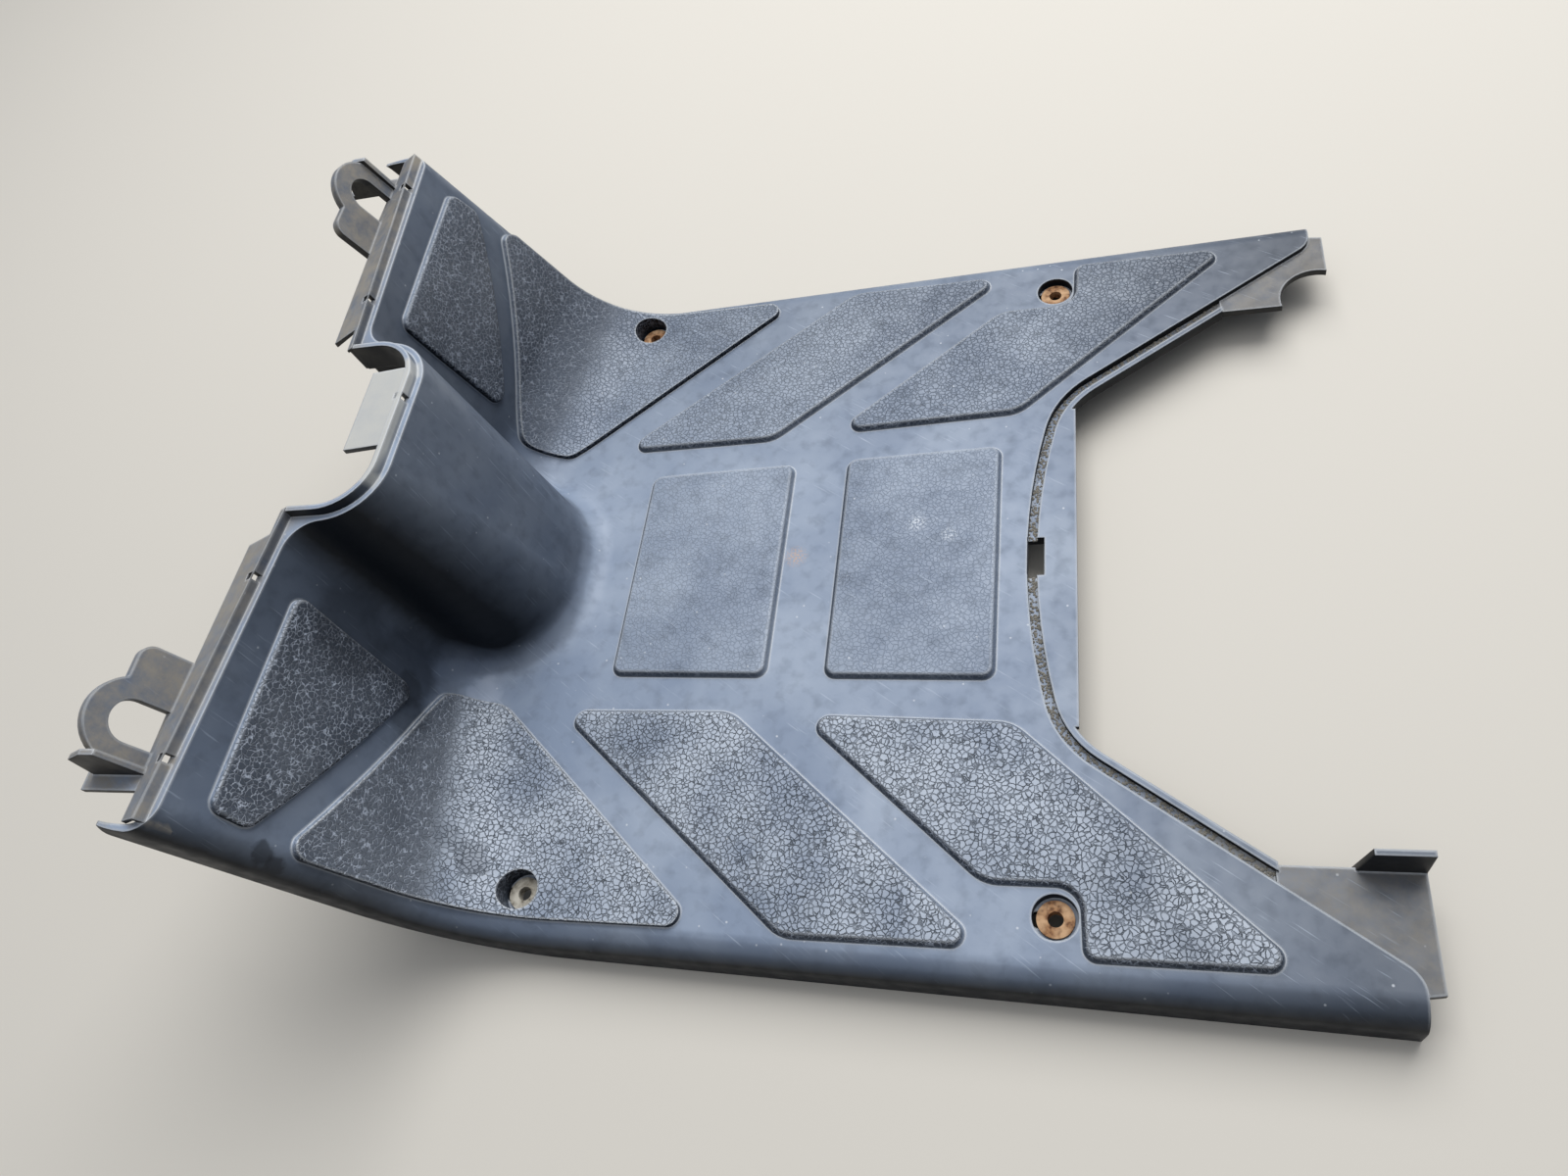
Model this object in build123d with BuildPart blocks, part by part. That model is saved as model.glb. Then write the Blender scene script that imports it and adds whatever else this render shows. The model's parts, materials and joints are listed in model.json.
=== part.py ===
# Moulded plastic floorboard of a step-through scooter, with a steel collar in each of its four screw wells.
# Millimetres. +X is forward, +Y is the left side and +Z is up. The side skirts stand on Z = 0 and the
# origin is under the middle of the overall length. Plan sizes are measured from the rear screw line, and
# heights from the tread, the flat top of the floor.
import os
from math import cos, radians, sin, tan

from build123d import *

os.makedirs("parts", exist_ok=True)

# Reach of the board ahead of and behind the rear screw line, and its place in the frame
front_reach = 364.0
rear_reach = 135.5
screw_line_x = (rear_reach - front_reach) / 2

# Plastic shell
skirt_depth = 24.0
wall = 3.0
roll_radius = 12.0
tip_x = -129.0
tip_half_width = 203.0
rim_half_width = 190.0
rim_height = 132.0

# Front upsweep: a tight bend beside the hump that opens out towards the sides
inner_bend = {"y": 20.0, "start_x": 284.0, "radius": 25.0, "rake": 89.0}
outer_bend = {"y": 215.0, "start_x": 208.0, "radius": 77.0, "rake": 62.0}

# Hump over the frame tube: a leaning column whose nose is rounder at the tread than at the rim
hump_half_width = 51.0
hump_length = 60.0
hump_foot_x = 242.0
hump_foot_corner = 44.0
hump_rim_x = 273.5
hump_rim_corner = 28.0
hump_blend = 15.0

# Screws and wells
screw_pitch_x = 238.0
screw_pitch_y = 341.0
bolt_hole_radius = 3.2
well_radius = 9.25
well_depth = 5.0
drain_radius = 3.5
drain_offset = 6.5

# Steel collars
collar_flange_radius = 7.6
collar_flange_height = 1.6
collar_sleeve_radius = 4.6
collar_clearance = 0.15

# Raised foot pads
pad_height = 2.8
pad_draft = 35.0
pad_edge = 1.5
pad_corner = 6.0
pad_wide_corner = 10.0
pad_round_corner = 18.0
spine_pads_x = (26.0, 106.5, 134.5, 216.4)
spine_half_width_rear = 66.0
spine_half_width_front = 61.5

# Outlines of the left side's pads, corner by corner: forward, left and corner radius in plan
middle_pad = [
    (242.0, 79.5, pad_corner),
    (113.0, 185.2, pad_round_corner),
    (24.7, 185.2, pad_corner),
    (149.5, 80.5, pad_round_corner),
]
rear_pad = [
    (118.0, 82.0, pad_corner),
    (29.0, 158.8, pad_round_corner),
    (-9.5, 158.8, pad_wide_corner),
    (-10.5, 187.8, pad_corner),
    (-92.5, 187.8, pad_corner),
    (18.0, 86.0, pad_round_corner),
]
corner_pad_plan = [
    (270.5, 78.0, pad_wide_corner),
    (330.0, 78.0, 0),
    (330.0, 183.0, 0),
    (148.5, 183.0, pad_corner),
]

# The same for the pads on the upsweep, seen from the rear: left, up and corner radius
corner_pad_face = [
    (78.0, -20.0, 0),
    (183.0, -20.0, 0),
    (183.0, 86.5, pad_corner),
    (78.0, 19.8, pad_wide_corner),
]
upright_pad_face = [
    (78.0, 117.0, pad_corner),
    (176.0, 117.0, pad_corner),
    (178.0, 100.0, pad_corner),
    (87.0, 38.0, pad_corner),
]

# Rear cut-out, the groove along its edge and the ledge behind it
cut_x = 13.0
cut_side_x = -0.5
cut_side_y = 96.0
cut_corner = 50.0
prong_y = 185.0
prong_corner = 12.0
groove_width = 4.5
groove_depth = 4.0
bead_width = 3.0
bead_drop = 1.0
bead_end_x = -84.0
ledge_x = -10.0
ledge_half_width = 88.0
clip_length = 8.0
clip_width = 21.0

# Lap flange: a band that carries on up from the front rim, and a plate that slopes forward from its top
flange_thickness = 2.5
flange_lap = 10.0
band_height = 4.5
plate_edge_x = 336.5
plate_slope = 24.0
plate_inner_y = 59.0
flange_inner_y = 46.0
flange_outer_y = 187.0
tab_reach = 23.0
tab_fall = 2.0
tab_right_y = -30.0
tab_left_y = 15.0
notch_width = 3.5
notch_height = 4.0
notch_reach = 10.0
side_notches_y = (80.0, 162.0)
hump_notch_y = -13.0

# Screw loops that stand on the front edge of the flange
loop_y = 150.0
loop_tilt = 68.0
loop_thickness = 4.0
loop_rise = 12.0
loop_radius = 18.0
eye_radius = 8.8
arm_inner_y = 118.5
arm_rise = 20.0
arm_corner = 6.0

# Catch beside each loop: a level shelf with a fin along its inner edge
shelf_width = 9.0
fin_thickness = 2.5
fin_height = 20.0
fin_top_length = 7.0
fin_shoulder = 5.0

# Thin plates past the rear prongs, one of them broken
lug_drop = 2.5
lug_thickness = 3.5
lug_inner_y = 145.5
lug_outer_y = 191.0
lug_front_x = -83.0
upright_rise = 16.5
upright_length = 25.0
upright_thickness = 2.5
upright_slant = 4.5
break_radius = 18.0
break_x = -130.0
break_y = 150.0

tread_plane = Plane(origin=(screw_line_x, 0, skirt_depth))
cross_plane = Plane(origin=(screw_line_x, 0, skirt_depth), x_dir=(0, 1, 0), z_dir=(1, 0, 0))
beyond = 400.0
band_top = rim_height + band_height
screws = [(x, y) for x in (0, screw_pitch_x) for y in (-screw_pitch_y / 2, screw_pitch_y / 2)]


def side_plane(y):
    # Side view at one distance from the middle, with x forward and heights from the tread
    return Plane(origin=(screw_line_x, y, skirt_depth), x_dir=(1, 0, 0), z_dir=(0, -1, 0))


def section(bend, y, top, bottom):
    # Side view of one layer of the board, between the depths top and bottom below its upper face
    angle = radians(bend["rake"])
    radius = bend["radius"]
    start = bend["start_x"]
    run = (band_top + flange_lap - radius * (1 - cos(angle))) / sin(angle)

    def on_bend(turn, depth):
        return (start + (radius + depth) * sin(turn), radius - (radius + depth) * cos(turn))

    def at_end(depth):
        x, z = on_bend(angle, depth)
        return (x + run * cos(angle), z + run * sin(angle))

    with BuildSketch(side_plane(y)) as outline:
        with BuildLine():
            Polyline((-beyond, -bottom), (-beyond, -top), on_bend(0, top))
            ThreePointArc(on_bend(0, top), on_bend(angle / 2, top), on_bend(angle, top))
            Polyline(on_bend(angle, top), at_end(top), at_end(bottom), on_bend(angle, bottom))
            ThreePointArc(on_bend(angle, bottom), on_bend(angle / 2, bottom), on_bend(0, bottom))
            Line(on_bend(0, bottom), (-beyond, -bottom))
        make_face()
    return outline.sketch


def layer(top, bottom):
    # One layer of floor and upsweep, right across the board
    right = section(inner_bend, -inner_bend["y"], top, bottom)
    left = section(inner_bend, inner_bend["y"], top, bottom)
    far_right = section(outer_bend, -outer_bend["y"], top, bottom)
    far_left = section(outer_bend, outer_bend["y"], top, bottom)
    with BuildPart() as sheet:
        loft([right, left], ruled=True)
        loft([left, far_left], ruled=True)
        loft([far_right, right], ruled=True)
    return sheet.part


def wall_x(bend, height, depth):
    # Where the straight upper stretch of the upsweep stands at one height, at a depth behind its face
    angle = radians(bend["rake"])
    straight = height - bend["radius"] * (1 - cos(angle))
    return bend["start_x"] + bend["radius"] * sin(angle) + straight / tan(angle) + depth / sin(angle)


def flange_x(y, height):
    # Rear face of the lap flange at one distance from the middle
    share = (y - inner_bend["y"]) / (outer_bend["y"] - inner_bend["y"])
    inner = wall_x(inner_bend, height, wall)
    return inner + (wall_x(outer_bend, height, wall) - inner) * share


def half_width(x):
    # The sides close in a little from the rear tips to the front
    return tip_half_width + (rim_half_width - tip_half_width) * (x - tip_x) / (front_reach - tip_x)


def cut_plan(grow):
    # Plan of all that lies ahead of the rear cut-out and the prong tips, grown by a margin
    with BuildSketch() as plan:
        with BuildLine():
            rear = ThreePointArc((cut_side_x, -cut_side_y), (cut_x, 0), (cut_side_x, cut_side_y))
            Polyline(
                rear @ 1,
                (tip_x, prong_y),
                (tip_x, beyond),
                (beyond, beyond),
                (beyond, -beyond),
                (tip_x, -beyond),
                (tip_x, -prong_y),
                rear @ 0,
            )
        make_face()
        fillet(plan.vertices().filter_by(lambda v: abs(v.X - cut_side_x) < 1), radius=cut_corner)
        tips = plan.vertices().filter_by(lambda v: abs(v.X - tip_x) < 1 and abs(v.Y) < prong_y + 1)
        fillet(tips, radius=prong_corner)
        if grow:
            offset(amount=grow)
    return plan.sketch


def side_plan(inset):
    # Plan between the two tapered sides, set in by a margin
    rear = tip_x - beyond
    front = front_reach + beyond
    with BuildSketch() as plan:
        with BuildLine():
            Polyline(
                (rear, inset - half_width(rear)),
                (front, inset - half_width(front)),
                (front, half_width(front) - inset),
                (rear, half_width(rear) - inset),
                close=True,
            )
        make_face()
    return plan.sketch


def corners(outline, inset=0):
    # A closed outline whose corners are rounded one by one, where a radius is given, set in by a margin
    with BuildSketch() as plan:
        with BuildLine():
            Polyline(*[(a, b) for a, b, radius in outline], close=True)
        make_face()
        for a, b, radius in outline:
            if radius:
                fillet(plan.vertices().sort_by_distance(Vertex(a, b))[0], radius=radius)
        if inset:
            offset(amount=-inset)
    return plan.sketch


def prism(plan, low, high):
    # A plan raised between two heights above the tread
    with BuildPart() as block:
        with BuildSketch(tread_plane.offset(low)):
            add(plan)
        extrude(amount=high - low)
    return block.part


def across(outline):
    # An outline seen from the rear, carried forward through the upsweep
    with BuildPart() as block:
        with BuildSketch(cross_plane):
            add(outline)
        extrude(amount=beyond)
    return block.part


def slab(points, y_low, y_high):
    # A side view carried across the board between two distances from the middle
    with BuildPart() as block:
        with BuildSketch(side_plane(y_high)):
            with BuildLine():
                Polyline(*points, close=True)
            make_face()
        extrude(amount=y_high - y_low)
    return block.part


def hump(inset, rise):
    # Leaning column over the frame tube, with its skin set in by a margin
    with BuildPart() as column:
        for height in (-wall, rise):
            share = height / rim_height
            nose = hump_foot_x + (hump_rim_x - hump_foot_x) * share
            corner = hump_foot_corner + (hump_rim_corner - hump_foot_corner) * share
            with BuildSketch(tread_plane.offset(height)):
                with Locations((nose + hump_length, 0)):
                    RectangleRounded(
                        2 * (hump_length - inset),
                        2 * (hump_half_width - inset),
                        corner - inset,
                    )
        loft()
    return column.part


def roll_edges(builder):
    # Side edges of the upper faces, where the tread turns down into the skirts
    upper = builder.faces().filter_by(lambda face: face.normal_at().Z > 0.05)
    nearest = half_width(front_reach) - roll_radius
    return upper.edges().filter_by(lambda edge: abs(edge.center().Y) > nearest)


def both_sides(solids):
    # The left side's solids and their mirror images
    return solids + [solid.mirror(Plane.XZ) for solid in solids]


def spine_pad(rear, front):
    # Outline of one of the two middle pads, which narrow towards the front
    def half(x):
        share = (x - spine_pads_x[0]) / (spine_pads_x[-1] - spine_pads_x[0])
        return spine_half_width_rear + (spine_half_width_front - spine_half_width_rear) * share

    points = [(rear, -half(rear)), (front, -half(front)), (front, half(front)), (rear, half(rear))]
    return [(x, y, pad_corner) for x, y in points]


def flat_pad(outline):
    # A pad on the flat of the tread, with drafted sides and a rounded top edge
    plan = corners(outline)
    with BuildPart() as pad:
        with BuildSketch(tread_plane):
            add(plan)
        extrude(amount=pad_height, taper=pad_draft)
        fillet(pad.faces().sort_by(Axis.Z)[-1].edges(), radius=pad_edge)
    return pad.part


def climbing_pads():
    # The left side's two pads on the upsweep, sunk half into the wall: one curls up from the tread, the
    # other stands on the wall beside the hump
    sheet = layer(-pad_height, wall / 2)
    corner_block = prism(corners(corner_pad_plan), -beyond, beyond)
    corner_tube = across(corners(corner_pad_face))
    upright_tube = across(corners(upright_pad_face))
    with BuildPart() as corner_pad:
        add(sheet)
        add(corner_block, mode=Mode.INTERSECT)
        add(corner_tube, mode=Mode.INTERSECT)
    with BuildPart() as upright_pad:
        add(sheet)
        add(upright_tube, mode=Mode.INTERSECT)
    return [corner_pad.part, upright_pad.part]


def crown_edges(pad):
    # Outer edges of a climbing pad's top face
    def on_top(face):
        normal = face.normal_at()
        return normal.Z > 0.99 or (normal.Z > 0.05 and normal.X < -0.05)

    tops = pad.faces().filter_by(on_top)
    return [edge for edge in tops.edges() if sum(edge in face.edges() for face in tops) == 1]


# Foot pads
spine_outlines = [spine_pad(*spine_pads_x[:2]), spine_pad(*spine_pads_x[2:])]
flat_pads = both_sides([flat_pad(middle_pad), flat_pad(rear_pad)])
flat_pads += [flat_pad(outline) for outline in spine_outlines]
corner_pad, upright_pad = climbing_pads()
with BuildPart() as rounded_pad:
    add(upright_pad)
    fillet(crown_edges(rounded_pad), radius=pad_edge)
pads = flat_pads + both_sides([corner_pad, rounded_pad.part])

# Space under the shell, with the screw wells' cups left standing in it
with BuildSketch() as cup_plan:
    with Locations(*screws):
        Circle(well_radius + wall)
well_cups = prism(cup_plan.sketch, -well_depth - wall, rim_height)
deep = rim_height
under_layer = layer(wall, deep)
under_sides = prism(side_plan(wall), -beyond, beyond)
under_hump = hump(wall, band_top)
with BuildPart() as hollow:
    add(under_layer)
    add(under_sides, mode=Mode.INTERSECT)
    fillet(roll_edges(hollow), radius=roll_radius - wall)
    add(under_hump)
    add(well_cups, mode=Mode.SUBTRACT)

# Recesses under the flat pads, which keep the wall even
recess_high = pad_height - wall
side_recesses = [prism(corners(outline, wall), -wall, recess_high) for outline in (middle_pad, rear_pad)]
recesses = both_sides(side_recesses)
recesses += [prism(corners(outline, wall), -wall, recess_high) for outline in spine_outlines]

# Lap flange of the left side, ruled between the two bends of the upsweep
plate_pitch = tan(radians(plate_slope))
flange_foot = rim_height - flange_lap
flange_sections = []
for bend in (inner_bend, outer_bend):
    ridge_x = wall_x(bend, band_top, wall)
    edge_height = band_top - (plate_edge_x - ridge_x) * plate_pitch
    under = band_top - flange_thickness
    with BuildSketch(side_plane(bend["y"])) as flange_outline:
        with BuildLine():
            Polyline(
                (wall_x(bend, flange_foot, wall), flange_foot),
                (ridge_x, band_top),
                (plate_edge_x, edge_height),
                (plate_edge_x, edge_height - flange_thickness),
                (wall_x(bend, under, wall + flange_thickness), under),
                (wall_x(bend, flange_foot, wall + flange_thickness), flange_foot),
                close=True,
            )
        make_face()
    flange_sections.append(flange_outline.sketch)
band_front = flange_x(plate_inner_y, band_top) + flange_thickness
with BuildPart() as side_flange:
    loft(flange_sections, ruled=True)
    split(bisect_by=Plane(origin=(0, flange_inner_y, 0), z_dir=(0, 1, 0)))
    split(bisect_by=Plane(origin=(0, flange_outer_y, 0), z_dir=(0, -1, 0)))
    with BuildSketch(tread_plane.offset(flange_foot)):
        with Locations((band_front, plate_inner_y)):
            Rectangle(beyond, beyond, align=(Align.MIN, Align.MAX))
    extrude(amount=beyond, mode=Mode.SUBTRACT)

# Lap flange round the hump, with a tab that slopes forward from its top
hump_skin = hump(wall, band_top)
hump_core = hump(wall + flange_thickness, band_top)
nose_x = hump_rim_x + wall
wall_front_x = screw_line_x + flange_x(flange_inner_y, rim_height)
behind_wall = Plane(origin=(wall_front_x, 0, 0), z_dir=(-1, 0, 0))
tab_slab = slab(
    [
        (nose_x, band_top),
        (nose_x + tab_reach, band_top - tab_fall),
        (nose_x + tab_reach, band_top - tab_fall - flange_thickness),
        (nose_x, band_top - flange_thickness),
    ],
    tab_right_y,
    tab_left_y,
)
with BuildPart() as hump_flange:
    add(hump_skin)
    add(hump_core, mode=Mode.SUBTRACT)
    split(bisect_by=tread_plane.offset(rim_height - flange_lap), keep=Keep.TOP)
    split(bisect_by=behind_wall)
with BuildPart() as hump_tab:
    add(tab_slab)
    add(hump_skin, mode=Mode.INTERSECT)

# Screw loop of the left side, on the front edge of the flange's plate


def edge_rise(y):
    # Height of the front edge of the flange's plate
    return band_top - (plate_edge_x - flange_x(y, band_top)) * plate_pitch


loop_origin = (screw_line_x + plate_edge_x, loop_y, skirt_depth + edge_rise(loop_y))
lean = radians(loop_tilt)
loop_plane = Plane(origin=loop_origin, x_dir=(0, 1, 0), z_dir=(sin(lean), 0, -cos(lean)))
arm_inner = arm_inner_y - loop_y
arm_plan = corners(
    [
        (arm_inner, -loop_thickness, 0),
        (loop_radius, -loop_thickness, 0),
        (loop_radius, loop_rise, 0),
        (0, loop_rise, 0),
        (0, arm_rise, 0),
        (arm_inner, arm_rise, arm_corner),
    ]
)
with BuildPart() as loop:
    with BuildSketch(loop_plane):
        with Locations((0, loop_rise)):
            Circle(loop_radius)
        add(arm_plan)
        with Locations((0, loop_rise)):
            Circle(eye_radius, mode=Mode.SUBTRACT)
        with Locations((0, loop_rise / 2)):
            Rectangle(2 * eye_radius, loop_rise, mode=Mode.SUBTRACT)
    extrude(amount=loop_thickness)

# Catch of the left side, beside the loop
catch_y = loop_y + loop_radius
shelf_top = edge_rise(catch_y)
root_x = plate_edge_x - flange_thickness
fin_root_x = root_x + fin_height / tan(lean)
shelf_slab = slab(
    [
        (root_x, shelf_top),
        (front_reach, shelf_top),
        (front_reach, shelf_top - flange_thickness),
        (root_x, shelf_top - flange_thickness),
    ],
    catch_y - fin_thickness,
    catch_y - fin_thickness + shelf_width,
)
fin_slab = slab(
    [
        (root_x, shelf_top - flange_thickness),
        (fin_root_x, shelf_top + fin_height),
        (fin_root_x + fin_top_length, shelf_top + fin_height),
        (front_reach - fin_shoulder, shelf_top + fin_height - fin_shoulder),
        (front_reach - flange_thickness, shelf_top - flange_thickness),
    ],
    catch_y - fin_thickness,
    catch_y,
)
front_pieces = both_sides([side_flange.part, loop.part, shelf_slab, fin_slab])
front_pieces += [hump_flange.part, hump_tab.part]


def edging(inner, outer, low, high):
    # A strip along the rear cut-out between two margins from its edge
    near_edge = cut_plan(inner)
    far_edge = cut_plan(outer)
    with BuildSketch() as strip:
        add(far_edge)
        add(near_edge, mode=Mode.SUBTRACT)
        with Locations((bead_end_x, 0)):
            Rectangle(beyond, 2 * prong_y, align=(Align.MIN, Align.CENTER), mode=Mode.INTERSECT)
    return prism(strip.sketch, low, high)


# Groove and bead along the rear cut-out, and the ledge that joins the bead's ends
groove_floor = -groove_depth - wall
bead_edge = groove_width + bead_width
lip = edging(-wall, 0, groove_floor, -wall / 2)
web = edging(-wall, bead_edge, groove_floor, -groove_depth)
bead = edging(groove_width, bead_edge, groove_floor, -bead_drop)
ledge_front = cut_plan(groove_width)
with BuildSketch() as ledge_plan:
    with Locations((ledge_x, 0)):
        Rectangle(cut_x - ledge_x, 2 * ledge_half_width, align=(Align.MIN, Align.CENTER))
    add(ledge_front, mode=Mode.SUBTRACT)
ledge = prism(ledge_plan.sketch, -groove_depth, -bead_drop)

# Lugs past the rear prongs: the left one whole with its upright, the right one broken short
lug_plan = corners(
    [
        (lug_front_x, lug_inner_y, 0),
        (-rear_reach, lug_inner_y, 0),
        (-rear_reach, lug_outer_y, 0),
        (tip_x + prong_corner, lug_outer_y + wall, 0),
        (lug_front_x, lug_inner_y + prong_corner, 0),
    ]
)
lug_low = -lug_drop - lug_thickness
left_lug = prism(lug_plan, lug_low, -lug_drop)
with BuildSketch() as broken_plan:
    add(lug_plan.mirror(Plane.XZ))
    with Locations((break_x, -break_y)):
        Circle(break_radius, mode=Mode.SUBTRACT)
right_lug = prism(broken_plan.sketch, lug_low, -lug_drop)
upright = slab(
    [
        (-rear_reach, lug_low),
        (-rear_reach, upright_rise),
        (-rear_reach + upright_length - upright_slant, upright_rise),
        (-rear_reach + upright_length, lug_low),
    ],
    lug_inner_y - upright_thickness / 2,
    lug_inner_y + upright_thickness / 2,
)
rear_pieces = [lip, web, bead, ledge, left_lug, right_lug, upright]

# The moulding: a solid block of the outer form, hollowed from below, then its pads, flanges and cuts
deck = layer(0, deep)
deck_sides = prism(side_plan(0), -beyond, beyond)
deck_rear = prism(cut_plan(0), -beyond, beyond)
below_skirts = layer(skirt_depth, 2 * deep)
hump_block = hump(0, rim_height)
with BuildPart() as floorboard:
    add(deck)
    add(deck_sides, mode=Mode.INTERSECT)
    fillet(roll_edges(floorboard), radius=roll_radius)
    add(deck_rear, mode=Mode.INTERSECT)
    split(bisect_by=tread_plane.offset(rim_height), keep=Keep.BOTTOM)
    add(hump_block)
    rim_z = skirt_depth + rim_height
    hump_foot = floorboard.edges(Select.NEW).filter_by(lambda edge: edge.center().Z < rim_z - wall)
    fillet(hump_foot, radius=hump_blend)
    add(hollow.part, mode=Mode.SUBTRACT)
    add(below_skirts, mode=Mode.SUBTRACT)
    for piece in pads + front_pieces + rear_pieces:
        add(piece)
    for recess in recesses:
        add(recess, mode=Mode.SUBTRACT)
    # Slots through the flange's band
    for y in side_notches_y:
        for side in (-y, y):
            with BuildSketch(tread_plane.offset(rim_height)):
                with Locations((flange_x(y, rim_height), side)):
                    Rectangle(notch_reach, notch_width)
            extrude(amount=notch_height, mode=Mode.SUBTRACT)
    with BuildSketch(tread_plane.offset(rim_height)):
        with Locations((nose_x, hump_notch_y)):
            Rectangle(notch_reach, notch_width)
    extrude(amount=notch_height, mode=Mode.SUBTRACT)
    # Slot for a clip at the middle of the rear groove
    with BuildSketch(tread_plane.offset(groove_floor)):
        with Locations((cut_x, 0)):
            Rectangle(clip_length, clip_width, align=(Align.MAX, Align.CENTER))
    extrude(amount=groove_depth + wall, mode=Mode.SUBTRACT)
    # Screw wells, the holes for their collars and a drain at the front of each
    with BuildSketch(tread_plane.offset(-well_depth)):
        with Locations(*screws):
            Circle(well_radius)
    extrude(amount=rim_height, mode=Mode.SUBTRACT)
    with BuildSketch(tread_plane.offset(-well_depth)):
        with Locations(*screws):
            Circle(collar_sleeve_radius + collar_clearance)
        with Locations(*[(x + drain_offset, y) for x, y in screws]):
            Circle(drain_radius)
    extrude(amount=-wall, mode=Mode.SUBTRACT)
floorboard.part.label = "floorboard"
export_step(floorboard.part, "parts/floorboard.step")

# Flanged steel collars, one on the floor of each well
collar_names = ("rear_right", "rear_left", "front_right", "front_left")
for name, place in zip(collar_names, screws):
    with BuildPart() as collar:
        with BuildSketch(tread_plane.offset(-well_depth)):
            with Locations(place):
                Circle(collar_flange_radius)
        extrude(amount=collar_flange_height)
        with BuildSketch(tread_plane.offset(-well_depth)):
            with Locations(place):
                Circle(collar_sleeve_radius)
        extrude(amount=-wall)
        with BuildSketch(tread_plane.offset(-well_depth - wall)):
            with Locations(place):
                Circle(bolt_hole_radius)
        extrude(amount=wall + collar_flange_height, mode=Mode.SUBTRACT)
    collar.part.label = "screw_collar_" + name
    export_step(collar.part, "parts/screw_collar_" + name + ".step")
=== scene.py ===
import json
import math

import bmesh
import bpy
import numpy as np
from mathutils import Euler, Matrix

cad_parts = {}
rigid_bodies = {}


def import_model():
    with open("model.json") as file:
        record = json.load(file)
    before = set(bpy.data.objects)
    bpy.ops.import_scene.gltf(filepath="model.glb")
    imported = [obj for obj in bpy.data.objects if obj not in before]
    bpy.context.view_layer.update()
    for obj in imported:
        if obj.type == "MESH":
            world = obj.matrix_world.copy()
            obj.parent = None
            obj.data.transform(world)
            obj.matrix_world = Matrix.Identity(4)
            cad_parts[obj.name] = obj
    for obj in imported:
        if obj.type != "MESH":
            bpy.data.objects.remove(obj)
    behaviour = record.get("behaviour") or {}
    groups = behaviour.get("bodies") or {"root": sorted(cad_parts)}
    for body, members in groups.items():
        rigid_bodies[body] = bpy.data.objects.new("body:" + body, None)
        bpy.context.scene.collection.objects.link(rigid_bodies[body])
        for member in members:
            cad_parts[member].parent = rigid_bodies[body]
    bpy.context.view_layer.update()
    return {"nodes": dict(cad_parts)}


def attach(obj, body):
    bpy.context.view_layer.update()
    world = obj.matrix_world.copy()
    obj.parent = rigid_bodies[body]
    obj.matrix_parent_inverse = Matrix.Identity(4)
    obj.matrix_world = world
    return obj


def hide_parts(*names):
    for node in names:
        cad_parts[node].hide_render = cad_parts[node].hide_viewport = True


# Looks of a used scooter floorboard: one black polypropylene moulding, weathered blue-grey on top,
# with grained foot pads, road dust on its flanges and four steel collars, three of them rusted.

for old in list(bpy.data.objects):
    bpy.data.objects.remove(old)
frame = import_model()
print("frame loaded:", sorted(frame["nodes"]))


def hexColour(code):  # sRGB hex to linear RGBA
    parts = [int(code[i:i + 2], 16) / 255 for i in (1, 3, 5)]
    return [c / 12.92 if c <= 0.04045 else ((c + 0.055) / 1.055) ** 2.4 for c in parts] + [1.0]


def addNode(tree, kind, feeds=None, **settings):
    # one node: settings are its own fields, feeds fill its inputs with a value or a link
    node = tree.nodes.new(kind)
    for field, value in settings.items():
        setattr(node, field, value)
    for key, value in (feeds or {}).items():
        if isinstance(value, bpy.types.NodeSocket):
            tree.links.new(value, node.inputs[key])
        else:
            node.inputs[key].default_value = value
    return node


def newMaterial(name):
    material = bpy.data.materials.new(name)
    material.use_nodes = True
    tree = material.node_tree
    tree.nodes.clear()
    shader = addNode(tree, "ShaderNodeBsdfPrincipled")
    addNode(tree, "ShaderNodeOutputMaterial", {"Surface": shader.outputs[0]})
    return material, shader


def smoothStep(low, high, values):
    t = np.clip((values - low) / (high - low), 0, 1)
    return t * t * (3 - 2 * t)


# Moulding: a welded copy of the solid, with what the surface carries kept as point attributes
moulding = {
    "weld": 0.00001,
    "sharpAngle": 24.0,
    "screwLineX": -0.11425,  # rear screw line in the frame
    "treadZ": 0.024,
    "padHeight": 0.0028,
    "padStart": 0.35,        # shares of that height where a pad's top starts, is full and ends
    "padFull": 0.8,
    "padEnd": 1.4,
    "innerBend": {"y": 0.020, "startX": 0.284, "radius": 0.025, "rake": 89.0},
    "outerBend": {"y": 0.215, "startX": 0.208, "radius": 0.077, "rake": 62.0},
    "bendSteps": 14,
    "treadReach": -0.4,      # the side view starts here, and ends this far up the wall past its bend
    "wallReach": 0.2,
    "humpHalfWidth": 0.072,  # no pads inside this, ahead of humpX
    "humpX": 0.222,
    "padRearX": -0.096,
    "flangeZ": 0.122,        # dusty above this, ahead of the wall
    "flangeHalfWidth": 0.1875,
    "behindSkin": -0.0018,   # flanges and lugs lie this far behind the skin
    "tabHalfWidth": 0.035,
    "tabX": 0.2768,
    "tabZ": 0.1315,
    "lugX": -0.078,
    "lugHalfWidth": 0.1925,
    "spineSide": 0.07,       # shoes have worn the grain of the middle pads most
    "nearGrain": 1.0,
    "farGrain": 0.6,
    "spineGrain": 0.3,
}


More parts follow.
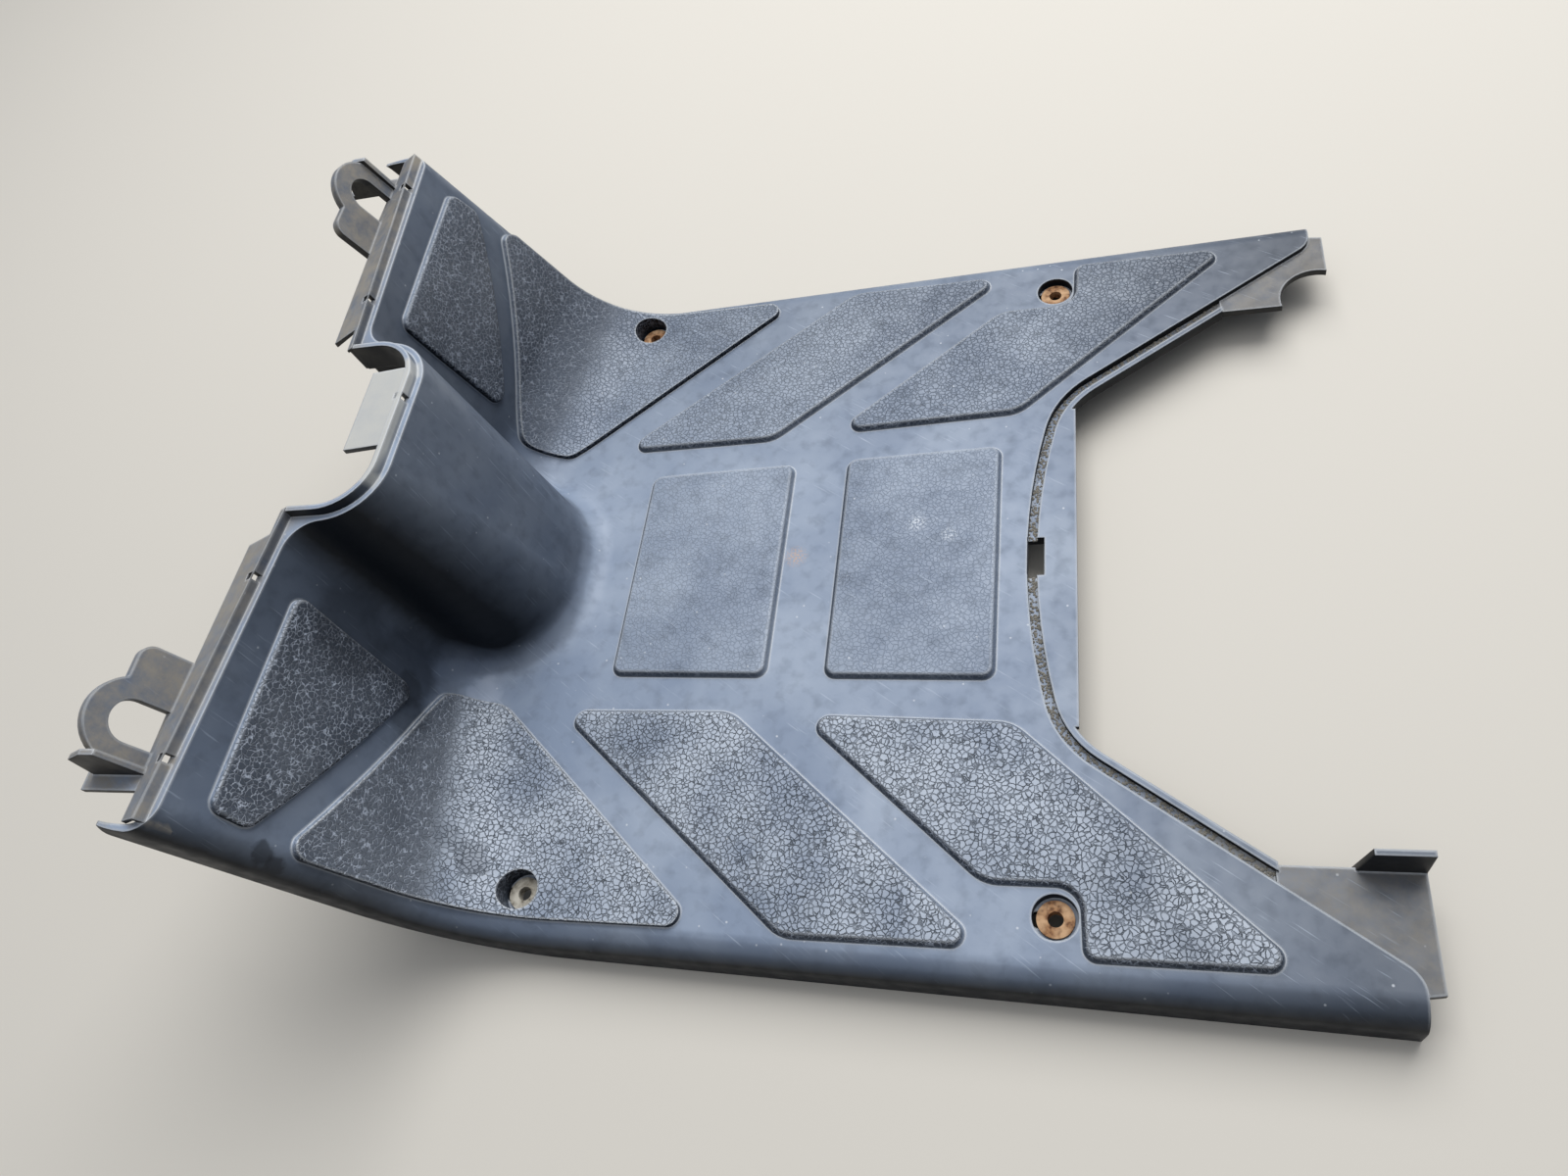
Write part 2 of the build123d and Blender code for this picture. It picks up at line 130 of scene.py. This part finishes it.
def bendLine(bend):
    # side view of the tread and upsweep at one bend, as points in x and height
    turns = np.linspace(0, math.radians(bend["rake"]), moulding["bendSteps"])
    x = bend["startX"] + bend["radius"] * np.sin(turns)
    z = bend["radius"] * (1 - np.cos(turns))
    reach = moulding["wallReach"]
    top = [x[-1] + reach * math.cos(turns[-1]), z[-1] + reach * math.sin(turns[-1])]
    return np.vstack([[moulding["treadReach"], 0.0], np.column_stack([x, z]), top])


def heightOverSkin(points):
    # how far each point stands above the bare tread or upsweep, square to it
    inner = bendLine(moulding["innerBend"])
    outer = bendLine(moulding["outerBend"])
    near, far = moulding["innerBend"]["y"], moulding["outerBend"]["y"]
    share = np.clip((np.abs(points[:, 1]) - near) / (far - near), 0, 1)[:, None]
    px = points[:, 0] - moulding["screwLineX"]
    pz = points[:, 2] - moulding["treadZ"]
    best = np.full(len(points), np.inf)
    signed = np.zeros(len(points))
    for i in range(len(inner) - 1):
        a = inner[i] + (outer[i] - inner[i]) * share
        b = inner[i + 1] + (outer[i + 1] - inner[i + 1]) * share
        along = b - a
        span = (along ** 2).sum(1)
        t = np.clip(((px - a[:, 0]) * along[:, 0] + (pz - a[:, 1]) * along[:, 1]) / span, 0, 1)
        dx = px - a[:, 0] - t * along[:, 0]
        dz = pz - a[:, 1] - t * along[:, 1]
        gap = np.hypot(dx, dz)
        side = np.sign(along[:, 0] * dz - along[:, 1] * dx)
        closer = gap < best
        best[closer] = gap[closer]
        signed[closer] = (side * gap)[closer]
    return signed


def pointAttribute(mesh, name, values):
    attribute = mesh.attributes.new(name, "FLOAT", "POINT")
    attribute.data.foreach_set("value", values.astype(np.float32))


def mouldingPiece():
    mesh = frame["nodes"]["floorboard"].data.copy()
    mesh.name = "mouldedBoard"
    net = bmesh.new()
    net.from_mesh(mesh)
    bmesh.ops.remove_doubles(net, verts=net.verts, dist=moulding["weld"])
    net.to_mesh(mesh)
    net.free()
    if "custom_normal" in mesh.attributes:
        mesh.attributes.remove(mesh.attributes["custom_normal"])
    mesh.polygons.foreach_set("use_smooth", [True] * len(mesh.polygons))
    mesh.set_sharp_from_angle(angle=math.radians(moulding["sharpAngle"]))
    points = np.zeros(len(mesh.vertices) * 3, np.float32)
    mesh.vertices.foreach_get("co", points)
    points = points.reshape(-1, 3).astype(float)
    rise = heightOverSkin(points)
    x = points[:, 0] - moulding["screwLineX"]
    y = np.abs(points[:, 1])
    z = points[:, 2] - moulding["treadZ"]
    share = rise / moulding["padHeight"]
    padTop = smoothStep(moulding["padStart"], moulding["padFull"], share) * (share < moulding["padEnd"])
    onHump = (x > moulding["humpX"]) & (y < moulding["humpHalfWidth"])
    padTop *= (x > moulding["padRearX"]) & ~onHump
    behindSkin = rise < moulding["behindSkin"]
    flange = behindSkin & (z > moulding["flangeZ"]) & (y < moulding["flangeHalfWidth"])
    onTab = (z > moulding["tabZ"]) & (x > moulding["tabX"]) & (y < moulding["tabHalfWidth"])
    lugs = behindSkin & (x < moulding["lugX"]) & (y < moulding["lugHalfWidth"])
    left = points[:, 1]
    spineSide = moulding["spineSide"]
    worn = np.select([left > spineSide, left < -spineSide],
                     [moulding["nearGrain"], moulding["farGrain"]], moulding["spineGrain"])
    pointAttribute(mesh, "padTop", padTop)
    pointAttribute(mesh, "grain", padTop * worn)
    pointAttribute(mesh, "flangeDust", (flange & ~onTab).astype(float))
    pointAttribute(mesh, "tabDust", onTab.astype(float))
    pointAttribute(mesh, "lugDust", lugs.astype(float))
    piece = bpy.data.objects.new("mouldedBoard", mesh)
    bpy.context.scene.collection.objects.link(piece)
    print("moulding:", len(mesh.vertices), "points,", len(mesh.polygons), "faces")
    return piece


# Polypropylene, injection moulded against a steel tool: dyed black, grained on the pads, satin between
# them. Sun and shoes have left the upward faces hazed blue-grey, and the sides stay near black.
# Part of that is painted light: sheen painted on the upward faces, shade on faces turned down or from the far
# lamp.
plastic = {
    "side": "#14181e",
    "top": "#8493aa",
    "padTop": "#8693a7",
    "crevice": "#323942",
    # painted highlight: the pale glint on the pad plates
    "plateGlint": "#c3ccd8",
    "steepPlate": "#262c36",  # on the steep pads the plates stay dark and pale dust fills the creases
    "steepPlateCover": 0.68,
    "creaseDust": "#b6bfce",
    "glintPower": 3.0,         # keeps the painted glint of the plates to the pads whose grain is whole
    "scuff": "#b4c0d0",
    # dust and painted highlight along edges and pad feet
    "foot": "#dfe3e6",
    "speck": "#d5dae0",
    "grainSize": 0.0023,
    "grainDepth": 0.00045,
    "wander": 0.0032,
    "wanderSize": 0.0034,
    "blotchSize": 0.045,
    "fleckSize": 0.008,
    "dustSize": 0.014,
    "speckSize": 0.009,
    "tatterSize": 0.001,
    "seep": 0.012,           # how far the edge of a stain wanders
    "stainCore": 0.7,        # share of a stain's radius that is fully covered
    "scratchLength": 0.020,
    "scratchWidth": 0.0008,  # coarser than a real scratch, so that it shows
    "scratchTurn": 0.6,      # radians
    "edgeRadius": 0.0016,
    "fadeAndLampDirection": (-0.25, -0.28, 0.93),  # fades what faces up; its tilt to the far lamp paints shade on what faces away
    "fadeAndPaintedLightCurve": ((0.15, 0.12), (0.45, 0.36), (0.6, 0.54), (0.78, 0.65), (0.91, 0.96)),  # fading, painted sheen and painted shade by share of that
}
# How a pattern's value becomes a cover: where it starts and is full, and the least and most it covers
spans = {
    "faded": {"From Min": 0.4, "From Max": 0.7, "To Max": 0.5},
    "flecked": {"From Min": 0.5, "From Max": 0.8, "To Max": 0.3},
    "rearward": {"From Min": -0.10, "From Max": -0.23, "To Max": 0.65},  # darker towards the prong tips
    "farSideShade": {"From Min": -0.05, "From Max": -0.17, "To Max": 0.3},    # and painted shade darkens it a little towards the right side
    "pebble": {"From Max": 0.13},
    "broken": {"From Min": 0.35, "From Max": 0.6, "To Min": 0.25, "To Max": 0.95},
    "plateGlint": {"From Min": 0.38, "From Max": 0.62, "To Min": 0.15, "To Max": 0.75},
    "steep": {"From Min": 0.98, "From Max": 0.66},  # by haze and painted light, which is less where it is steeper or turned from the lamp
    "scratch": {"From Min": 0.66, "From Max": 0.74, "To Max": 0.5},
    "speck": {"From Min": 0.07, "From Max": 0.04, "To Max": 0.7},
    "settles": {"From Min": -0.1, "From Max": 0.4},
    "dustPatch": {"From Min": 0.35, "From Max": 0.6},
    "torn": {"From Min": 0.48, "From Max": 0.58},
    "foot": {"From Min": 0.998, "From Max": 0.95, "To Max": 0.9},
    "rough": {"From Min": 0.3, "From Max": 0.7, "To Min": 0.4, "To Max": 0.58},
    "gloss": {"To Min": 0.2, "To Max": 0.5},
}
# Road dust, by the attribute that says where it lies: colour, least and most cover
dust = {
    "flangeDust": {"tone": "#9c9486", "least": 0.1, "cover": 0.8},
    "tabDust": {"tone": "#c6c6c1", "least": 0.85, "cover": 1.0},
    "lugDust": {"tone": "#7f7a71", "least": 0.2, "cover": 0.75},
}
# Single marks on the tread: place, radius, colour and strength
marks = {
    "orangeSmudge": {"place": (0.0139, -0.0053, 0.024), "radius": 0.007, "tone": "#d2a67c", "cover": 1.0},
    "rearStarScuff": {"place": (-0.0474, -0.0204, 0.0268), "radius": 0.006, "tone": "#dfe6ee", "cover": 1.0},
    "tailStarScuff": {"place": (-0.0639, -0.0124, 0.0268), "radius": 0.005, "tone": "#dfe6ee", "cover": 1.0},
    "darkPatch": {"place": (-0.0139, 0.0106, 0.0268), "radius": 0.006, "tone": "#4a525e", "cover": 0.9},
}
# Stains and a scuff on the left of the upsweep and skirt: place, radius, colour and strength
stains = {
    "dampTop": {"place": (0.1921, 0.0798, 0.1079), "radius": 0.026, "tone": "#1d222b", "cover": 0.5},
    "dampMiddle": {"place": (0.1874, 0.0793, 0.0694), "radius": 0.024, "tone": "#1d222b", "cover": 0.5},
    "dampGap": {"place": (0.1826, 0.1015, 0.0627), "radius": 0.012, "tone": "#20262f", "cover": 0.5},
    "dampDark": {"place": (0.1854, 0.0864, 0.0645), "radius": 0.010, "tone": "#12161d", "cover": 0.5},
    "skirtSpot": {"place": (0.1915, 0.1850, 0.1130), "radius": 0.006, "tone": "#171b22", "cover": 0.6},
    "skirtDrip": {"place": (0.1905, 0.1879, 0.1058), "radius": 0.006, "tone": "#171b22", "cover": 0.6},
    "cornerSpot": {"place": (0.1464, 0.1594, 0.0362), "radius": 0.009, "tone": "#4a525e", "cover": 0.5},
    "cornerSmear": {"place": (0.1564, 0.1514, 0.0419), "radius": 0.009, "tone": "#5a6370", "cover": 0.4},
    "tipScuff": {"place": (0.1678, 0.0720, 0.0288), "radius": 0.010, "tone": "#a9b6cc", "cover": 0.4},
}


def plasticMaterial():
    material, shader = newMaterial("weatheredPolypropyleneMoulding")
    tree = material.node_tree
    coords = addNode(tree, "ShaderNodeTexCoord").outputs["Object"]
    normal = addNode(tree, "ShaderNodeNewGeometry").outputs["Normal"]
    padTop = addNode(tree, "ShaderNodeAttribute", attribute_name="padTop").outputs["Fac"]
    grained = addNode(tree, "ShaderNodeAttribute", attribute_name="grain").outputs["Fac"]
    upward = addNode(tree, "ShaderNodeSeparateXYZ", {0: normal}).outputs["Z"]
    place = addNode(tree, "ShaderNodeSeparateXYZ", {0: coords}).outputs
    # haze with painted light by facing: fading and painted sheen up top, painted shade on faces turned from
    # the far lamp
    towardSunAndLamp = addNode(tree, "ShaderNodeVectorMath", {0: normal, 1: plastic["fadeAndLampDirection"]}, operation="DOT_PRODUCT")
    slope = addNode(tree, "ShaderNodeFloatCurve", {"Value": towardSunAndLamp.outputs["Value"]})
    for spot in plastic["fadeAndPaintedLightCurve"]:
        slope.mapping.curves[0].points.new(*spot)
    hazeAndPaintedLight = slope.outputs[0]
    # sun haze in broad blotches, broken by small dull flecks, darker towards the prong tips, painted shade to
    # the right
    blotch = addNode(tree, "ShaderNodeTexNoise", {
        "Vector": coords, "Scale": 1 / plastic["blotchSize"], "Detail": 6.0})
    fleck = addNode(tree, "ShaderNodeTexNoise", {
        "Vector": coords, "Scale": 1 / plastic["fleckSize"], "Detail": 5.0})
    faded = addNode(tree, "ShaderNodeMapRange", {"Value": blotch.outputs[0], **spans["faded"]})
    flecked = addNode(tree, "ShaderNodeMapRange", {"Value": fleck.outputs[0], **spans["flecked"]})
    rearward = addNode(tree, "ShaderNodeMapRange", {"Value": place["X"], **spans["rearward"]})
    # painted shade: darker towards the right side, where the far lamp falls strongest
    farSideShade = addNode(tree, "ShaderNodeMapRange", {"Value": place["Y"], **spans["farSideShade"]})
    colour = addNode(tree, "ShaderNodeMix", {
        "Factor": padTop, 6: hexColour(plastic["top"]), 7: hexColour(plastic["padTop"])}, data_type="RGBA")
    for cover, tone in ((faded, "scuff"), (flecked, "crevice"), (rearward, "side"), (farSideShade, "side")):
        colour = addNode(tree, "ShaderNodeMix", {
            "Factor": cover.outputs[0], 6: colour.outputs[2], 7: hexColour(plastic[tone])}, data_type="RGBA")
    # painted shade: faces turned down or from the far lamp keep the near-black side colour
    colour = addNode(tree, "ShaderNodeMix", {
        "Factor": hazeAndPaintedLight, 6: hexColour(plastic["side"]), 7: colour.outputs[2]}, data_type="RGBA")
    # leather grain of the pads: dark creases on the flat ones, pale dusty creases on the steep ones
    wander = addNode(tree, "ShaderNodeTexNoise", {
        "Vector": coords, "Scale": 1 / plastic["wanderSize"], "Detail": 3.0})
    wandered = addNode(tree, "ShaderNodeMix", {
        "Factor": plastic["wander"], 4: coords, 5: wander.outputs["Color"]},
        data_type="VECTOR", clamp_factor=False)
    cells = addNode(tree, "ShaderNodeTexVoronoi", {
        "Vector": wandered.outputs[1], "Scale": 1 / plastic["grainSize"]}, feature="DISTANCE_TO_EDGE")
    pebble = addNode(tree, "ShaderNodeMapRange", {
        "Value": cells.outputs["Distance"], **spans["pebble"]}, interpolation_type="SMOOTHSTEP")
    grain = addNode(tree, "ShaderNodeMath", {0: pebble.outputs[0], 1: grained}, operation="MULTIPLY")
    crease = addNode(tree, "ShaderNodeMath", {0: grained, 1: grain.outputs[0]}, operation="SUBTRACT")
    broken = addNode(tree, "ShaderNodeMapRange", {"Value": wander.outputs[0], **spans["broken"]})
    crease = addNode(tree, "ShaderNodeMath", {
        0: crease.outputs[0], 1: broken.outputs[0]}, operation="MULTIPLY")
    # painted highlight: pale glinting plate tops, mostly on the near pads
    sheen = addNode(tree, "ShaderNodeMath", {0: grained, 1: plastic["glintPower"]}, operation="POWER")
    plateGlint = addNode(tree, "ShaderNodeMapRange", {"Value": blotch.outputs[0], **spans["plateGlint"]})
    plateGlint = addNode(tree, "ShaderNodeMath", {
        0: plateGlint.outputs[0], 1: sheen.outputs[0]}, operation="MULTIPLY")
    plateGlint = addNode(tree, "ShaderNodeMath", {0: plateGlint.outputs[0], 1: hazeAndPaintedLight}, operation="MULTIPLY")
    steep = addNode(tree, "ShaderNodeMapRange", {"Value": hazeAndPaintedLight, **spans["steep"]})
    plates = addNode(tree, "ShaderNodeMath", {0: grained, 1: steep.outputs[0]}, operation="MULTIPLY")
    plates = addNode(tree, "ShaderNodeMath", {
        0: plates.outputs[0], 1: plastic["steepPlateCover"]}, operation="MULTIPLY")
    dusty = addNode(tree, "ShaderNodeMath", {0: crease.outputs[0], 1: steep.outputs[0]}, operation="MULTIPLY")
    layers = [(plateGlint.outputs[0], plastic["plateGlint"]), (crease.outputs[0], plastic["crevice"]),
              (plates.outputs[0], plastic["steepPlate"]), (dusty.outputs[0], plastic["creaseDust"])]
    # fine scratches along one slant, and pale specks of grit
    turned = addNode(tree, "ShaderNodeVectorRotate", {
        "Vector": coords, "Angle": plastic["scratchTurn"]}, rotation_type="Z_AXIS")
    stretched = addNode(tree, "ShaderNodeVectorMath", {
        0: turned.outputs[0],
        1: (1 / plastic["scratchLength"], 1 / plastic["scratchWidth"], 1 / plastic["scratchLength"])},
        operation="MULTIPLY")
    streak = addNode(tree, "ShaderNodeTexNoise", {
        "Vector": stretched.outputs[0], "Scale": 1.0, "Detail": 2.0})
    scratch = addNode(tree, "ShaderNodeMapRange", {"Value": streak.outputs[0], **spans["scratch"]})
    dots = addNode(tree, "ShaderNodeTexVoronoi", {"Vector": coords, "Scale": 1 / plastic["speckSize"]})
    speck = addNode(tree, "ShaderNodeMapRange", {"Value": dots.outputs["Distance"], **spans["speck"]})
    for cover, tone in ((scratch, "scuff"), (speck, "speck")):
        onTop = addNode(tree, "ShaderNodeMath", {0: cover.outputs[0], 1: hazeAndPaintedLight}, operation="MULTIPLY")
        layers.append((onTop.outputs[0], plastic[tone]))
    # road dust lies in patches on what faces up
    patches = addNode(tree, "ShaderNodeTexNoise", {
        "Vector": coords, "Scale": 1 / plastic["dustSize"], "Detail": 10.0, "Roughness": 0.75})
    settles = addNode(tree, "ShaderNodeMapRange", {"Value": upward, **spans["settles"]})
    for name, kind in dust.items():
        lies = addNode(tree, "ShaderNodeAttribute", attribute_name=name).outputs["Fac"]
        thick = addNode(tree, "ShaderNodeMapRange", {
            "Value": patches.outputs[0], **spans["dustPatch"],
            "To Min": kind["least"], "To Max": kind["cover"]})
        onTop = addNode(tree, "ShaderNodeMath", {
            0: thick.outputs[0], 1: settles.outputs[0]}, operation="MULTIPLY")
        cover = addNode(tree, "ShaderNodeMath", {0: onTop.outputs[0], 1: lies}, operation="MULTIPLY")
        layers.append((cover.outputs[0], kind["tone"]))
    # stains seep: their coordinates lean towards a noise about noiseMean, so their places lean with them
    noiseMean = 0.5
    seeped = addNode(tree, "ShaderNodeMix", {
        "Factor": plastic["seep"], 4: coords, 5: fleck.outputs["Color"]},
        data_type="VECTOR", clamp_factor=False)
    for stain in stains.values():
        middle = [part + (noiseMean - part) * plastic["seep"] for part in stain["place"]]
        away = addNode(tree, "ShaderNodeVectorMath", {0: seeped.outputs[1], 1: middle}, operation="DISTANCE")
        spread = addNode(tree, "ShaderNodeMapRange", {
            "Value": away.outputs["Value"], "From Min": stain["radius"],
            "From Max": plastic["stainCore"] * stain["radius"], "To Max": stain["cover"]})
        layers.append((spread.outputs[0], stain["tone"]))
    # marks are torn into small tatters
    tatter = addNode(tree, "ShaderNodeTexNoise", {
        "Vector": coords, "Scale": 1 / plastic["tatterSize"], "Detail": 4.0})
    torn = addNode(tree, "ShaderNodeMapRange", {"Value": tatter.outputs[0], **spans["torn"]})
    for mark in marks.values():
        away = addNode(tree, "ShaderNodeVectorMath", {0: coords, 1: mark["place"]}, operation="DISTANCE")
        spread = addNode(tree, "ShaderNodeMapRange", {
            "Value": away.outputs["Value"], "From Min": mark["radius"], "From Max": 0.0,
            "To Max": mark["cover"]})
        ragged = addNode(tree, "ShaderNodeMath", {
            0: spread.outputs[0], 1: torn.outputs[0]}, operation="MULTIPLY")
        layers.append((ragged.outputs[0], mark["tone"]))
    # a pale line where the surface turns at an edge or a pad's foot: dust, and a painted highlight
    edges = addNode(tree, "ShaderNodeBevel", {"Radius": plastic["edgeRadius"]}, samples=4)
    turn = addNode(tree, "ShaderNodeVectorMath", {0: edges.outputs[0], 1: normal}, operation="DOT_PRODUCT")
    foot = addNode(tree, "ShaderNodeMapRange", {"Value": turn.outputs["Value"], **spans["foot"]})
    foot = addNode(tree, "ShaderNodeMath", {0: foot.outputs[0], 1: hazeAndPaintedLight}, operation="MULTIPLY")
    layers.append((foot.outputs[0], plastic["foot"]))
    for cover, tone in layers:
        colour = addNode(tree, "ShaderNodeMix", {
            "Factor": cover, 6: colour.outputs[2], 7: hexColour(tone)}, data_type="RGBA")
    # moulded edges are soft, and hazed faces shine more than the black sides
    bump = addNode(tree, "ShaderNodeBump", {
        "Height": grain.outputs[0], "Distance": plastic["grainDepth"], "Normal": edges.outputs[0]})
    rough = addNode(tree, "ShaderNodeMapRange", {"Value": fleck.outputs[0], **spans["rough"]})
    gloss = addNode(tree, "ShaderNodeMapRange", {"Value": hazeAndPaintedLight, **spans["gloss"]})
    tree.links.new(colour.outputs[2], shader.inputs["Base Color"])
    tree.links.new(rough.outputs[0], shader.inputs["Roughness"])
    tree.links.new(gloss.outputs[0], shader.inputs["Specular IOR Level"])
    tree.links.new(bump.outputs[0], shader.inputs["Normal"])
    print("plastic:", len(tree.nodes), "nodes,", len(layers), "layers of wear and dirt")
    return material


# Steel collars, turned and zinc plated once, now rusted: dark pits, orange scale and a pale dry bloom
collar = {
    "names": ("rear_right", "rear_left", "front_right", "front_left"),
    "dulledOne": "front_left",  # its zinc has dulled, and the other three have rusted
    "rust": ("#5f3d27", "#a67b55", "#cca680"),
    "dull": ("#6e675c", "#a8a294", "#c4bfb3"),
    "pitSize": 0.0016,
    "bloomSize": 0.005,
    "pitDepth": 0.0001,
    "scaleSpan": {"From Min": 0.35, "From Max": 0.6},
    "bloomSpan": {"From Min": 0.42, "From Max": 0.65},
    "roughness": 0.85,
}


def rustMaterial(name, tones):
    material, shader = newMaterial(name)
    tree = material.node_tree
    dark, scale, bloom = [hexColour(tone) for tone in tones]
    coords = addNode(tree, "ShaderNodeTexCoord").outputs["Object"]
    pits = addNode(tree, "ShaderNodeTexNoise", {
        "Vector": coords, "Scale": 1 / collar["pitSize"], "Detail": 5.0})
    cloud = addNode(tree, "ShaderNodeTexNoise", {
        "Vector": coords, "Scale": 1 / collar["bloomSize"], "Detail": 3.0})
    scaled = addNode(tree, "ShaderNodeMapRange", {"Value": pits.outputs[0], **collar["scaleSpan"]})
    dried = addNode(tree, "ShaderNodeMapRange", {"Value": cloud.outputs[0], **collar["bloomSpan"]})
    colour = addNode(tree, "ShaderNodeMix", {
        "Factor": scaled.outputs[0], 6: dark, 7: scale}, data_type="RGBA")
    colour = addNode(tree, "ShaderNodeMix", {
        "Factor": dried.outputs[0], 6: colour.outputs[2], 7: bloom}, data_type="RGBA")
    bump = addNode(tree, "ShaderNodeBump", {"Height": pits.outputs[0], "Distance": collar["pitDepth"]})
    tree.links.new(colour.outputs[2], shader.inputs["Base Color"])
    tree.links.new(bump.outputs[0], shader.inputs["Normal"])
    shader.inputs["Roughness"].default_value = collar["roughness"]
    return material


# Grit packed in the rear groove: dry grey crumbs on the groove's floor
grit = {
    "grooveDepth": 0.004,
    "levelSlack": 0.0003,
    "levelNormal": 0.9,      # upward part of a floor face's normal
    "density": 800000.0,
    "smallest": 0.0003,
    "largest": 0.0009,
    "seed": 7,
    "tone": "#8d8980",
    "roughness": 0.95,
}


def gritTree():
    tree = bpy.data.node_groups.new("grooveGrit", "GeometryNodeTree")
    kinds = {"Geometry": "Geometry", "Density": "Float", "Smallest": "Float", "Largest": "Float",
             "Seed": "Int", "Material": "Material"}
    sockets = {name: tree.interface.new_socket(name, in_out="INPUT", socket_type="NodeSocket" + kind)
               for name, kind in kinds.items()}
    tree.interface.new_socket("Geometry", in_out="OUTPUT", socket_type="NodeSocketGeometry")
    given = addNode(tree, "NodeGroupInput").outputs
    points = addNode(tree, "GeometryNodeDistributePointsOnFaces", {
        "Mesh": given["Geometry"], "Density": given["Density"], "Seed": given["Seed"]})
    crumb = addNode(tree, "GeometryNodeMeshIcoSphere", {"Radius": 1.0, "Subdivisions": 1})
    size = addNode(tree, "FunctionNodeRandomValue", {
        2: given["Smallest"], 3: given["Largest"], "Seed": given["Seed"]}, data_type="FLOAT")
    crumbs = addNode(tree, "GeometryNodeInstanceOnPoints", {
        "Points": points.outputs["Points"], "Instance": crumb.outputs[0],
        "Rotation": points.outputs["Rotation"], "Scale": size.outputs[1]})
    solid = addNode(tree, "GeometryNodeRealizeInstances", {0: crumbs.outputs[0]})
    painted = addNode(tree, "GeometryNodeSetMaterial", {
        "Geometry": solid.outputs[0], "Material": given["Material"]})
    addNode(tree, "NodeGroupOutput", {0: painted.outputs[0]})
    return tree, sockets


def gritPiece(board):
    level = moulding["treadZ"] - grit["grooveDepth"]
    floors = [face for face in board.data.polygons
              if face.normal.z > grit["levelNormal"] and abs(face.center.z - level) < grit["levelSlack"]]
    used = sorted({index for face in floors for index in face.vertices})
    places = {index: order for order, index in enumerate(used)}
    mesh = bpy.data.meshes.new("grooveGrit")
    mesh.from_pydata([board.data.vertices[index].co for index in used], [],
                     [[places[index] for index in face.vertices] for face in floors])
    piece = bpy.data.objects.new("grooveGrit", mesh)
    bpy.context.scene.collection.objects.link(piece)
    material, shader = newMaterial("dryRoadGrit")  # loose mineral dust, matt, grey with a little brown
    shader.inputs["Base Color"].default_value = hexColour(grit["tone"])
    shader.inputs["Roughness"].default_value = grit["roughness"]
    modifier = piece.modifiers.new("crumbs", "NODES")
    modifier.node_group, sockets = gritTree()
    values = {"Density": grit["density"], "Smallest": grit["smallest"], "Largest": grit["largest"],
              "Seed": grit["seed"], "Material": material}
    for name, value in values.items():
        modifier[sockets[name].identifier] = value
    settled = piece.evaluated_get(bpy.context.evaluated_depsgraph_get())
    plain = bpy.data.meshes.new_from_object(settled)
    piece.modifiers.remove(modifier)
    piece.data = plain
    print("grit:", len(floors), "groove faces,", len(plain.polygons), "faces of crumbs")
    return piece


board = mouldingPiece()
board.data.materials.clear()
board.data.materials.append(plasticMaterial())
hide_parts("floorboard")
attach(board, "root")
crumbs = gritPiece(board)
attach(crumbs, "root")
rusted = rustMaterial("rustedSteelCollar", collar["rust"])
dulled = rustMaterial("dulledZincCollar", collar["dull"])
for name in collar["names"]:
    node = frame["nodes"]["screw_collar_" + name]
    node.material_slots[0].material = dulled if name == collar["dulledOne"] else rusted
print("collars:", len(collar["names"]))

# Plain pale floor: a painted board, matt and warm white
benchTop = {"size": 6.0, "tone": "#dcd7cd", "roughness": 0.8}
floorMesh = bpy.data.meshes.new("paleFloor")
corner = benchTop["size"] / 2
corners = [(-corner, -corner, 0), (corner, -corner, 0), (corner, corner, 0), (-corner, corner, 0)]
floorMesh.from_pydata(corners, [], [(0, 1, 2, 3)])
floor = bpy.data.objects.new("paleFloor", floorMesh)
bpy.context.scene.collection.objects.link(floor)
floorMaterial, floorShader = newMaterial("paleBenchTop")
floorShader.inputs["Base Color"].default_value = hexColour(benchTop["tone"])
floorShader.inputs["Roughness"].default_value = benchTop["roughness"]
floorMesh.materials.append(floorMaterial)

# Soft studio light: a wide lamp over the far side, a fill overhead and a dim sky
lamps = {
    "farSoftbox": {"place": (-0.25, -1.15, 1.75), "size": 1.8, "power": 44.0},
    "overheadFill": {"place": (0.1, 0.3, 2.2), "size": 2.0, "power": 8.0},
}
sky = {"tone": "#dfe6f2", "strength": 0.28}
for name, lamp in lamps.items():
    light = bpy.data.lights.new(name, "AREA")
    light.size = lamp["size"]
    light.energy = lamp["power"]
    holder = bpy.data.objects.new(name, light)
    holder.location = lamp["place"]
    holder.rotation_euler = (-holder.location).to_track_quat("-Z", "Y").to_euler()
    bpy.context.scene.collection.objects.link(holder)
world = bpy.data.worlds.new("dimSky")
world.use_nodes = True
background = world.node_tree.nodes["Background"]
background.inputs["Color"].default_value = hexColour(sky["tone"])
background.inputs["Strength"].default_value = sky["strength"]
bpy.context.scene.world = world
print("light:", len(lamps), "lamps and a sky")

# Camera at the photograph's place, solved for a 1600 by 1200 picture
viewpoint = {
    "place": (-0.14615, 0.29395, 0.4839),
    "angles": (32.073, 15.523, -172.846),
    "focusPixels": 1149.3,
    "pixelsWide": 1600,
    "sensorMillimetres": 36.0,
    "clipStart": 0.01,
}
cameraData = bpy.data.cameras.new("camera")
cameraData.sensor_width = viewpoint["sensorMillimetres"]
cameraData.lens = viewpoint["focusPixels"] / viewpoint["pixelsWide"] * cameraData.sensor_width
cameraData.clip_start = viewpoint["clipStart"]
camera = bpy.data.objects.new("camera", cameraData)
camera.location = viewpoint["place"]
camera.rotation_euler = Euler([math.radians(a) for a in viewpoint["angles"]])
bpy.context.scene.collection.objects.link(camera)
bpy.context.scene.camera = camera
bpy.context.scene.view_settings.view_transform = "Standard"
